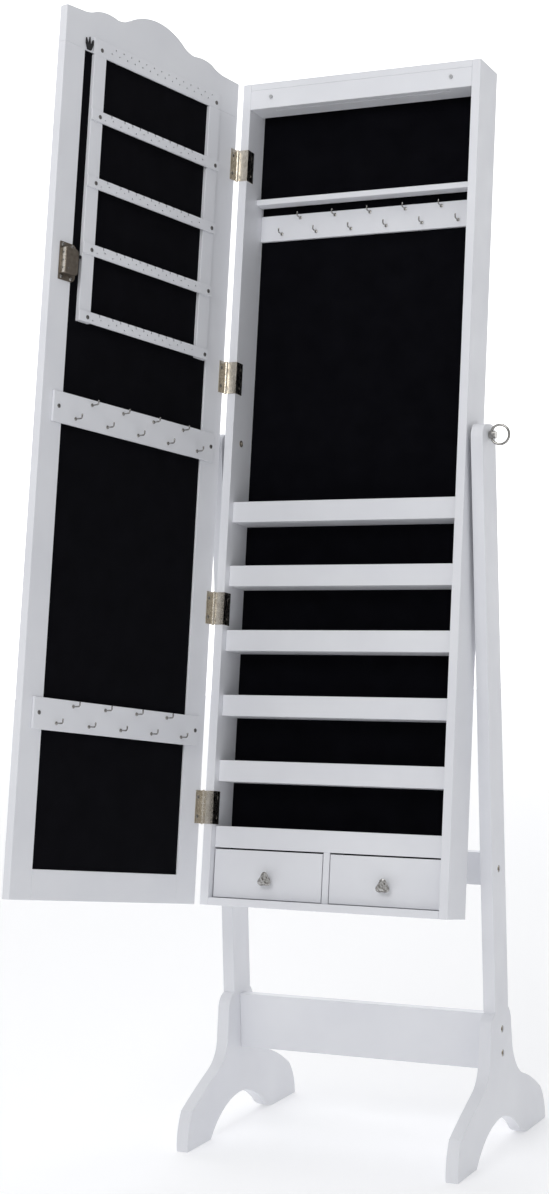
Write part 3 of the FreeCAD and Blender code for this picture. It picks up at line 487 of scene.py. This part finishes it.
def new_tree(name, sockets):
    """A geometry tree with named inputs, and its input and output nodes."""
    tree = bpy.data.node_groups.new(name, "GeometryNodeTree")
    for label, kind in sockets:
        tree.interface.new_socket(label, in_out="INPUT", socket_type=kind)
    tree.interface.new_socket("Geometry", in_out="OUTPUT", socket_type="NodeSocketGeometry")
    return tree, add_node(tree, "NodeGroupInput")


def finish_tree(tree, given, geometry):
    """Realize Instances and Set Material close every tree."""
    real = add_node(tree, "GeometryNodeRealizeInstances", links={"Geometry": geometry})
    painted = add_node(tree, "GeometryNodeSetMaterial",
                       links={"Geometry": real.outputs[0], "Material": given.outputs["Finish"]})
    add_node(tree, "NodeGroupOutput", links={"Geometry": painted.outputs[0]})


def row_tree():
    """A straight row of one piece: how many, where it starts, its step and how each is turned."""
    tree, given = new_tree("row_of_pieces", (
        ("Piece", "NodeSocketObject"), ("Count", "NodeSocketInt"), ("Start", "NodeSocketVector"),
        ("Step", "NodeSocketVector"), ("Turn", "NodeSocketRotation"),
        ("Finish", "NodeSocketMaterial")))
    line = add_node(tree, "GeometryNodeMeshLine", links={
        "Count": given.outputs["Count"], "Start Location": given.outputs["Start"],
        "Offset": given.outputs["Step"]}, mode="OFFSET")
    source = add_node(tree, "GeometryNodeObjectInfo", links={"Object": given.outputs["Piece"]})
    copies = add_node(tree, "GeometryNodeInstanceOnPoints", links={
        "Points": line.outputs["Mesh"], "Instance": source.outputs["Geometry"],
        "Rotation": given.outputs["Turn"]})
    finish_tree(tree, given, copies.outputs["Instances"])
    return tree


def drilled_tree():
    """Two rows of round holes cut through a board along Y."""
    tree, given = new_tree("drilled_board", (
        ("Board", "NodeSocketObject"), ("Count", "NodeSocketInt"), ("Start", "NodeSocketVector"),
        ("Second Start", "NodeSocketVector"), ("Step", "NodeSocketVector"),
        ("Hole Width", "NodeSocketFloat"), ("Finish", "NodeSocketMaterial")))
    board = add_node(tree, "GeometryNodeObjectInfo", links={"Object": given.outputs["Board"]})
    radius = add_node(tree, "ShaderNodeMath", {1: 0.5}, {0: given.outputs["Hole Width"]},
                      operation="MULTIPLY")
    drill = add_node(tree, "GeometryNodeMeshCylinder", {"Vertices": 12, "Depth": 0.02},
                     {"Radius": radius.outputs[0]})
    rows = []
    for start in ("Start", "Second Start"):
        line = add_node(tree, "GeometryNodeMeshLine", links={
            "Count": given.outputs["Count"], "Start Location": given.outputs[start],
            "Offset": given.outputs["Step"]}, mode="OFFSET")
        copies = add_node(tree, "GeometryNodeInstanceOnPoints",
                          {"Rotation": (math.pi / 2, 0, 0)},
                          {"Points": line.outputs["Mesh"], "Instance": drill.outputs["Mesh"]})
        rows.append(copies.outputs["Instances"])
    drills = add_node(tree, "GeometryNodeJoinGeometry")
    for row in rows:
        tree.links.new(row, drills.inputs[0])
    real = add_node(tree, "GeometryNodeRealizeInstances", links={"Geometry": drills.outputs[0]})
    cut = add_node(tree, "GeometryNodeMeshBoolean",
                   links={"Mesh 1": board.outputs["Geometry"], "Mesh 2": real.outputs[0]},
                   operation="DIFFERENCE", solver="EXACT")
    finish_tree(tree, given, cut.outputs["Mesh"])
    return tree


def evaluated(tree, **values):
    """Runs a tree with its inputs, and gives what it makes as a plain mesh."""
    host = bpy.data.objects.new("host", bpy.data.meshes.new("host"))
    SCENE.collection.objects.link(host)
    modifier = host.modifiers.new("tree", "NODES")
    modifier.node_group = tree
    for item in tree.interface.items_tree:
        key = item.name.replace(" ", "_")
        if item.item_type == "SOCKET" and item.in_out == "INPUT" and key in values:
            modifier[item.identifier] = values[key]
    bpy.context.view_layer.update()
    graph = bpy.context.evaluated_depsgraph_get()
    mesh = bpy.data.meshes.new_from_object(host.evaluated_get(graph))
    bpy.data.objects.remove(host)
    return mesh


def master(mesh, sharp=35):
    """An unseen object that a tree copies."""
    mesh.shade_smooth()
    mesh.set_sharp_from_angle(angle=math.radians(sharp))
    return bpy.data.objects.new("master", mesh)


ROW = row_tree()
DRILLED = drilled_tree()
OUT_OF_DOOR = tuple(math.radians(angle) for angle in (-90, 0, 0))
OUT_OF_CABINET = tuple(math.radians(angle) for angle in (-90, 0, 180))
FROM_LEFT_WALL = tuple(math.radians(angle) for angle in (0, 90, 0))


def row(piece, count, start, step, turn, material):
    """One row of a piece, its start and step in millimetres."""
    return evaluated(ROW, Piece=piece, Count=count, Start=Vector(start) * MM,
                     Step=Vector(step) * MM, Turn=turn, Finish=material)


# ---------------------------------------------------------------- hooks

def square_hook():
    """A wire hook: threaded collar, shank straight out, a tight bend and a tip that turns up."""
    bend = 2.2
    points = [(0, 0, -3), (0, 0, HOOK_REACH - bend)]
    for step in range(1, 7):
        angle = math.pi / 2 * step / 6
        points.append((0, -bend * (1 - math.cos(angle)),
                       HOOK_REACH - bend + bend * math.sin(angle)))
    points.append((0, -HOOK_RISE, HOOK_REACH))
    shank = wire(points, HOOK_WIRE)
    tip = lathe([(0, -1.15), (0.7, -0.9), (1.1, -0.3), (1.1, 0.3), (0.7, 0.9), (0, 1.15)], 16)
    collar = lathe([(0, 0), (2.3, 0), (2.3, 0.5), (1.9, 1.0), (1.3, 1.15), (1.3, 1.9), (0, 1.9)])
    return joined([shank, moved(tip, (0, -HOOK_RISE, HOOK_REACH)), collar])


def make_hooks():
    hook = master(square_hook())
    metal = FINISHES["bright_steel"]
    rows = []
    for base in HOOK_RAIL_BASES:
        for first, rise, count in (UPPER_HOOKS, LOWER_HOOKS):
            rows.append(row(hook, count, (first, HOOK_RAIL_FACE, base + rise),
                            (HOOK_PITCH, 0, 0), OUT_OF_DOOR, metal))
    add_piece("door_hook_set", joined(rows), DOOR, "door", "bright_steel",
              stands_for=["door_hooks"])
    rows = []
    for (middle, rise), count in ((UPPER_NECKLACE_HOOKS, 5), (LOWER_NECKLACE_HOOKS, 6)):
        first = middle - NECKLACE_PITCH * (count - 1) / 2
        rows.append(row(hook, count, (first, NECKLACE_RAIL_FACE, NECKLACE_RAIL_BASE + rise),
                        (NECKLACE_PITCH, 0, 0), OUT_OF_CABINET, metal))
    add_piece("necklace_hook_set", joined(rows), CABINET, "cabinet", "bright_steel",
              stands_for=["necklace_hooks"])


# ---------------------------------------------------------------- screws

def cut_away(mesh, cutters):
    """The mesh less the cutters."""
    holder = bpy.data.objects.new("holder", mesh)
    SCENE.collection.objects.link(holder)
    tool = bpy.data.objects.new("tool", joined(cutters))
    SCENE.collection.objects.link(tool)
    modifier = holder.modifiers.new("cut", "BOOLEAN")
    modifier.object = tool
    modifier.operation = "DIFFERENCE"
    modifier.solver = "EXACT"
    bpy.context.view_layer.update()
    graph = bpy.context.evaluated_depsgraph_get()
    result = bpy.data.meshes.new_from_object(holder.evaluated_get(graph))
    bpy.data.objects.remove(holder)
    bpy.data.objects.remove(tool)
    return result


def cross_screw(width, height):
    """A domed screw head with a cross recess, standing on its seat."""
    half = width / 2
    dome = lathe([(0, -1.5), (1.2, -1.5), (1.2, 0), (half, 0), (half, height * 0.35),
                  (half * 0.85, height * 0.75), (half * 0.5, height), (0, height * 1.06)], 24)
    arm = width * 0.32
    slot = width * 0.075
    low = height * 0.25
    cutters = [box((-arm, -slot, low), (arm, slot, height * 2)),
               box((-slot, -arm, low), (slot, arm, height * 2))]
    for cutter in cutters:
        dome = cut_away(dome, [cutter])
    return dome


def make_screws():
    rail_screw = master(cross_screw(5.4, 0.9), sharp=25)
    rows = []
    step = EARRING_SCREWS[1] - EARRING_SCREWS[0]
    for number in range(5):
        face = TOP_RAIL_FACE if number == 0 else RAIL_FACE
        rise = TOP_SCREW_RISE if number == 0 else SCREW_RISE
        height = TOP_RAIL_BASE - RAIL_PITCH * number + rise
        rows.append(row(rail_screw, 2, (EARRING_SCREWS[0], face, height), (step, 0, 0),
                        OUT_OF_DOOR, SHADED_SCREW_GREY))
    step = HOOK_RAIL_SCREWS[1] - HOOK_RAIL_SCREWS[0]
    for base in HOOK_RAIL_BASES:
        height = base + HOOK_RAIL_HEIGHT * 0.52
        rows.append(row(rail_screw, 2, (HOOK_RAIL_SCREWS[0], HOOK_RAIL_FACE, height),
                        (step, 0, 0), OUT_OF_DOOR, SHADED_SCREW_GREY))
    add_piece("rail_screw_set", joined(rows), DOOR, "door", "nickel_plate", SHADED_SCREW_GREY,
              stands_for=["door_screws"])
    step = LOCK_SCREWS[1] - LOCK_SCREWS[0]
    face = DOOR_INNER_FACE + LOCK_PLATE
    metal = FINISHES["bright_steel"]
    rows = []
    for rise in (LOCK_SCREW_EDGE, LOCK_HEIGHT - LOCK_SCREW_EDGE):
        rows.append(row(rail_screw, 2, (LOCK_NEAR + LOCK_SCREWS[0], face, LOCK_BASE + rise),
                        (step, 0, 0), OUT_OF_DOOR, metal))
    add_piece("lock_screw_set", joined(rows), DOOR, "door", "bright_steel", metal)
    hinge_screw = master(cross_screw(5.0, 0.5), sharp=25)
    gap = (0, 0, 2 * HINGE_SCREW_RISE)
    on_door = []
    on_wall = []
    for centre in HINGE_CENTRES:
        low = centre - HINGE_SCREW_RISE
        on_door.append(row(hinge_screw, 2, (DOOR_HINGE_SCREW, DOOR_INNER_FACE + 1, low), gap,
                           OUT_OF_DOOR, metal))
        on_wall.append(row(hinge_screw, 2, (CABINET_WALL, CABINET_SCREW_Y, low), gap,
                           FROM_LEFT_WALL, metal))
    add_piece("door_hinge_screw_set", joined(on_door), DOOR, "door", "bright_steel", metal)
    add_piece("wall_hinge_screw_set", joined(on_wall), CABINET, "cabinet", "bright_steel", metal,
              stands_for=["hinge_cabinet_screws"])


def make_stand_bolts():
    """Socket-head bolts sunk in the uprights, each with a hexagon in its head."""
    low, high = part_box("stand_bolts")
    head = lathe([(0, -3), (4.6, -3), (4.6, -0.5), (4.1, 0), (0, 0)])
    hexagon = lathe([(0, -2), (2.6, -2), (2.6, 2), (0, 2)], 6)
    bolt = master(cut_away(head, [hexagon]), sharp=30)
    metal = FINISHES["nickel_plate"]
    outside = (high.x - low.x) / 2 / MM
    rows = []
    for height in STAND_BOLT_HEIGHTS:
        for side in (-1, 1):
            turn = (0, math.radians(90 * side), 0)
            rows.append(row(bolt, 1, (side * outside, 0, height), (0, 0, 0), turn, metal))
    add_piece("socket_bolt_set", joined(rows), STAND, "stand", "nickel_plate",
              stands_for=["stand_bolts"])


# ---------------------------------------------------------------- hinges

def make_hinge_caps():
    """Domed ends on the four hinge pins."""
    cap = master(lathe([(0, 0), (1.9, 0), (1.9, 0.5), (1.3, 1.0), (0, 1.3)], 20))
    metal = FINISHES["nickel_plate"]
    rows = []
    pin = CABINET.inverted() @ DOOR.translation / MM
    for centre in HINGE_CENTRES:
        top = centre + HINGE_HEIGHT / 2
        foot = centre - HINGE_HEIGHT / 2
        rows.append(row(cap, 1, (pin.x, pin.y, top), (0, 0, 0), (0, 0, 0), metal))
        rows.append(row(cap, 1, (pin.x, pin.y, foot), (0, 0, 0), (math.pi, 0, 0), metal))
    add_piece("hinge_pin_caps", joined(rows), CABINET, "cabinet", "nickel_plate")


# ---------------------------------------------------------------- earring rails

def solid_copy(node, place):
    """A CAD node's mesh merged and brought into a local frame."""
    shape = bmesh.new()
    shape.from_mesh(frame["nodes"][node].data)
    bmesh.ops.remove_doubles(shape, verts=shape.verts, dist=0.01 * MM)
    mesh = bpy.data.meshes.new(node)
    shape.to_mesh(mesh)
    shape.free()
    mesh.transform(place.inverted())
    return mesh


def make_hole_shade_dots(starts, count, step):
    """Dark discs in the flock material at the bottom of the top rail's stud holes, which the crest rail closes:
    they paint the shade inside the holes.
    """
    depth = 1.6
    dot = master(lathe([(0, 0), (HOLE_WIDTH * 0.46, 0), (HOLE_WIDTH * 0.46, 0.3), (0, 0.3)], 12))
    rows = [row(dot, count, (s, TOP_RAIL_FACE - depth, height), step, OUT_OF_DOOR,
                FINISHES["black_felt"]) for s, _, height in starts]
    add_piece("stud_hole_lining", joined(rows), DOOR, "door", "black_felt")


def make_earring_rails():
    """Stud holes in each rail: two rows on the top one, one staggered row between the slots."""
    for number in range(5):
        node = "earring_rail_%d" % (number + 1)
        board = bpy.data.objects.new("board", solid_copy(node, DOOR))
        base = TOP_RAIL_BASE - RAIL_PITCH * number
        if number == 0:
            count = TOP_HOLES_PER_ROW
            first = (TOP_HOLES_START, 0, base + TOP_HOLE_RISES[0])
            second = (TOP_HOLES_START + SLOT_PITCH / 2, 0, base + TOP_HOLE_RISES[1])
            step = (SLOT_PITCH, 0, 0)
            make_hole_shade_dots((first, second), count, step)
        else:
            count = LOW_HOLES_PER_ROW
            first = (FIRST_SLOT - 1.5 * SLOT_PITCH, 0, base + LOW_HOLE_RISES[0])
            second = (FIRST_SLOT - 0.5 * SLOT_PITCH, 0, base + LOW_HOLE_RISES[1])
            step = (SLOT_PITCH * 2, 0, 0)
        mesh = evaluated(DRILLED, Board=board, Count=count, Start=Vector(first) * MM,
                         Second_Start=Vector(second) * MM, Step=Vector(step) * MM,
                         Hole_Width=HOLE_WIDTH * MM, Finish=FINISHES["painted_board"])
        add_piece("drilled_rail_%d" % (number + 1), mesh, DOOR, "door", "painted_board",
                  stands_for=[node], sharp=0)


# ---------------------------------------------------------------- drawer knobs

def trefoil_glass():
    """A cut three-lobed crystal: narrow at its foot, wide at its girdle, a small flat table."""
    sections = ((4.0, 3.8, 0.05), (6.4, 8.2, 0.16), (8.0, 10.3, 0.2), (9.2, 10.3, 0.2),
                (11.0, 8.0, 0.18), (12.4, 5.0, 0.12))
    points = 24
    shape = bmesh.new()
    rings = []
    for height, radius, lobe in sections:
        ring = []
        for step in range(points):
            angle = 2 * math.pi * step / points
            reach = radius * (1 + lobe * math.cos(3 * (angle + math.pi / 2))) / (1 + lobe)
            ring.append(shape.verts.new((reach * MM * math.cos(angle),
                                         reach * MM * math.sin(angle), height * MM)))
        rings.append(ring)
    for low, high in zip(rings, rings[1:]):
        for step in range(0, points, 2):
            one = (step + 1) % points
            two = (step + 2) % points
            shape.faces.new((low[step], low[one], high[one]))
            shape.faces.new((low[step], high[one], high[step]))
            shape.faces.new((low[one], low[two], high[one]))
            shape.faces.new((low[two], high[two], high[one]))
    shape.faces.new(rings[0])
    shape.faces.new(rings[-1])
    bmesh.ops.recalc_face_normals(shape, faces=shape.faces)
    mesh = bpy.data.meshes.new("trefoil")
    shape.to_mesh(mesh)
    shape.free()
    return mesh


def knob_foot():
    return lathe([(0, 0), (4.4, 0), (4.4, 0.8), (3.4, 1.6), (2.4, 2.2), (2.2, 3.2), (3.6, 4.2),
                  (3.6, 4.6), (0, 4.6)])


def make_drawer_knobs():
    out_of_drawer = (-90, 0, 180)
    for name, side in (("left", -1), ("right", 1)):
        place = (side * KNOB_X, DRAWER_FACE, KNOB_HEIGHT)
        body = name + "_drawer"
        add_piece(name + "_knob_crystal", moved(trefoil_glass(), place, out_of_drawer), CABINET,
                  body, "cut_glass", stands_for=["drawer_knob_" + name], sharp=0)
        add_piece(name + "_knob_foot", moved(knob_foot(), place, out_of_drawer), CABINET, body,
                  "bright_steel")


# ---------------------------------------------------------------- lock

def make_lock_trim():
    """A nickel strip down the side of the case whose pale tone paints the highlight on that side face, with dark
    rivets, one in front, and a nub beside.
    """
    far = LOCK_NEAR + LOCK_WIDTH - LOCK_CASE_INSET
    middle = LOCK_BASE + LOCK_HEIGHT / 2
    half = LOCK_CASE_HEIGHT / 2
    top_face = DOOR_INNER_FACE + LOCK_CASE_DEPTH
    foot = DOOR_INNER_FACE + LOCK_PLATE
    sunk = 0.4
    proud = 0.35
    edge = 1
    strip = box((far - sunk, foot, middle - half + edge),
                (far + proud, top_face - 1.2, middle + half - edge), 0.15)
    add_piece("lock_side_strip", strip, DOOR, "door", "bright_steel", HIGHLIGHT_NICKEL_STRIP)
    rivet_head = [(0, -0.5), (1.2, -0.5), (1.2, 0.2), (0.8, 0.55), (0, 0.7)]
    rivet_gap = 10
    across = (foot + top_face) / 2 - 0.5
    rivets = []
    for rise in (-rivet_gap, 0, rivet_gap):
        rivets.append(moved(lathe(rivet_head, 16), (far + 0.3, across, middle + rise),
                            (0, 90, 0)))
    front = (far - 5, top_face, middle - rivet_gap)
    rivets.append(moved(lathe(rivet_head, 16), front, (-90, 0, 0)))
    add_piece("lock_rivets", joined(rivets), DOOR, "door", "nickel_plate", SHADED_SCREW_GREY)
    nub = lathe([(0, 0), (2.2, 0), (2.2, 4.6), (1.8, 5.4), (0, 5.8)], 24)
    place = (NUB_PLACE[0], FELT_FACE, NUB_PLACE[1])
    add_piece("lock_nub", moved(nub, place, (-90, 0, 0)), DOOR, "door", "black_plastic")


# ---------------------------------------------------------------- studio

FLOOR_HALF = 9
FLOOR_GLOW = 0.27
WALL_PLACE = (-3.1, 6.4, 0)
WALL_GLOW = 1.0
SKY_COLOUR = (0.98, 0.99, 1.0, 1.0)
SKY_BELOW = 0.4
SKY_ABOVE = 0.56


def area_light(name, place, target, size, power):
    data = bpy.data.lights.new(name, "AREA")
    data.shape = "DISK"
    data.size = size
    data.energy = power
    light = bpy.data.objects.new(name, data)
    light.location = place
    light.rotation_euler = (Vector(target) - Vector(place)).to_track_quat("-Z", "Y").to_euler()
    SCENE.collection.objects.link(light)


def make_lights():
    world = bpy.data.worlds.new("studio")
    world.use_nodes = True
    tree = world.node_tree
    tree.nodes.clear()
    place = add_node(tree, "ShaderNodeTexCoord")
    split = add_node(tree, "ShaderNodeSeparateXYZ", links={0: place.outputs["Generated"]})
    ramp = add_node(tree, "ShaderNodeMapRange",
                    {"From Min": -1.0, "From Max": 1.0, "To Min": SKY_BELOW,
                     "To Max": SKY_ABOVE},
                    {"Value": split.outputs["Z"]})
    sky = add_node(tree, "ShaderNodeBackground", {"Color": SKY_COLOUR},
                   {"Strength": ramp.outputs["Result"]})
    add_node(tree, "ShaderNodeOutputWorld", links={"Surface": sky.outputs[0]})
    SCENE.world = world
    area_light("key", (-0.1, -2.7, 2.3), target=(0.0, 0.0, 0.95), size=1.3, power=20)
    area_light("top", (-0.6, -0.6, 3.2), target=(0.0, 0.0, 0.9), size=1.6, power=9)


def stage_material(name, hex_code, glow):
    material, _, shader = new_material(name, Roughness=0.9, Specular_IOR_Level=0.1)
    shader.inputs["Base Color"].default_value = linear(hex_code)
    shader.inputs["Emission Color"].default_value = (1, 1, 1, 1)
    shader.inputs["Emission Strength"].default_value = glow
    return material


def make_stage():
    """A pale floor and a lit white wall far behind."""
    shape = bmesh.new()
    bmesh.ops.create_grid(shape, x_segments=1, y_segments=1, size=FLOOR_HALF)
    mesh = bpy.data.meshes.new("floor")
    shape.to_mesh(mesh)
    shape.free()
    mesh.materials.append(stage_material("pale_floor", "#E8E8EA", FLOOR_GLOW))
    floor = bpy.data.objects.new("floor", mesh)
    SCENE.collection.objects.link(floor)
    wall_mesh = mesh.copy()
    wall_mesh.materials.clear()
    wall_mesh.materials.append(stage_material("lit_wall", "#FFFFFF", WALL_GLOW))
    wall_mesh.transform(Matrix.Translation(WALL_PLACE) @ Matrix.Rotation(VIEW_TURN, 4, "Z")
                        @ Matrix.Rotation(math.pi / 2, 4, "X"))
    wall = bpy.data.objects.new("wall", wall_mesh)
    SCENE.collection.objects.link(wall)


# The camera stands to the right of the front, about level with the pivot.
VIEW_TURN = math.radians(25.975)
VIEW_DIP = math.radians(-0.696)
VIEW_ROLL = math.radians(-1.338)
EYE = (1.2106, -2.7429, 0.8299)
LENS_PER_HEIGHT = 1.9049
SHIFT = (0.00672, -0.05193)


def make_camera():
    forward = Vector((-math.sin(VIEW_TURN) * math.cos(VIEW_DIP),
                      math.cos(VIEW_TURN) * math.cos(VIEW_DIP), math.sin(VIEW_DIP)))
    level = Vector((math.cos(VIEW_TURN), math.sin(VIEW_TURN), 0))
    upright = level.cross(forward)
    right = level * math.cos(VIEW_ROLL) + upright * math.sin(VIEW_ROLL)
    data = bpy.data.cameras.new("camera")
    data.sensor_fit = "VERTICAL"
    data.sensor_height = 36
    data.lens = LENS_PER_HEIGHT * data.sensor_height
    data.shift_x, data.shift_y = SHIFT
    data.clip_end = 60
    camera = bpy.data.objects.new("camera", data)
    camera.matrix_world = placed(EYE, right, -forward)
    SCENE.collection.objects.link(camera)
    SCENE.camera = camera


finish_cad_nodes()
make_hooks()
make_screws()
make_stand_bolts()
make_hinge_caps()
make_earring_rails()
make_drawer_knobs()
make_lock_trim()
make_lights()
make_stage()
make_camera()
SCENE.view_settings.view_transform = "Standard"
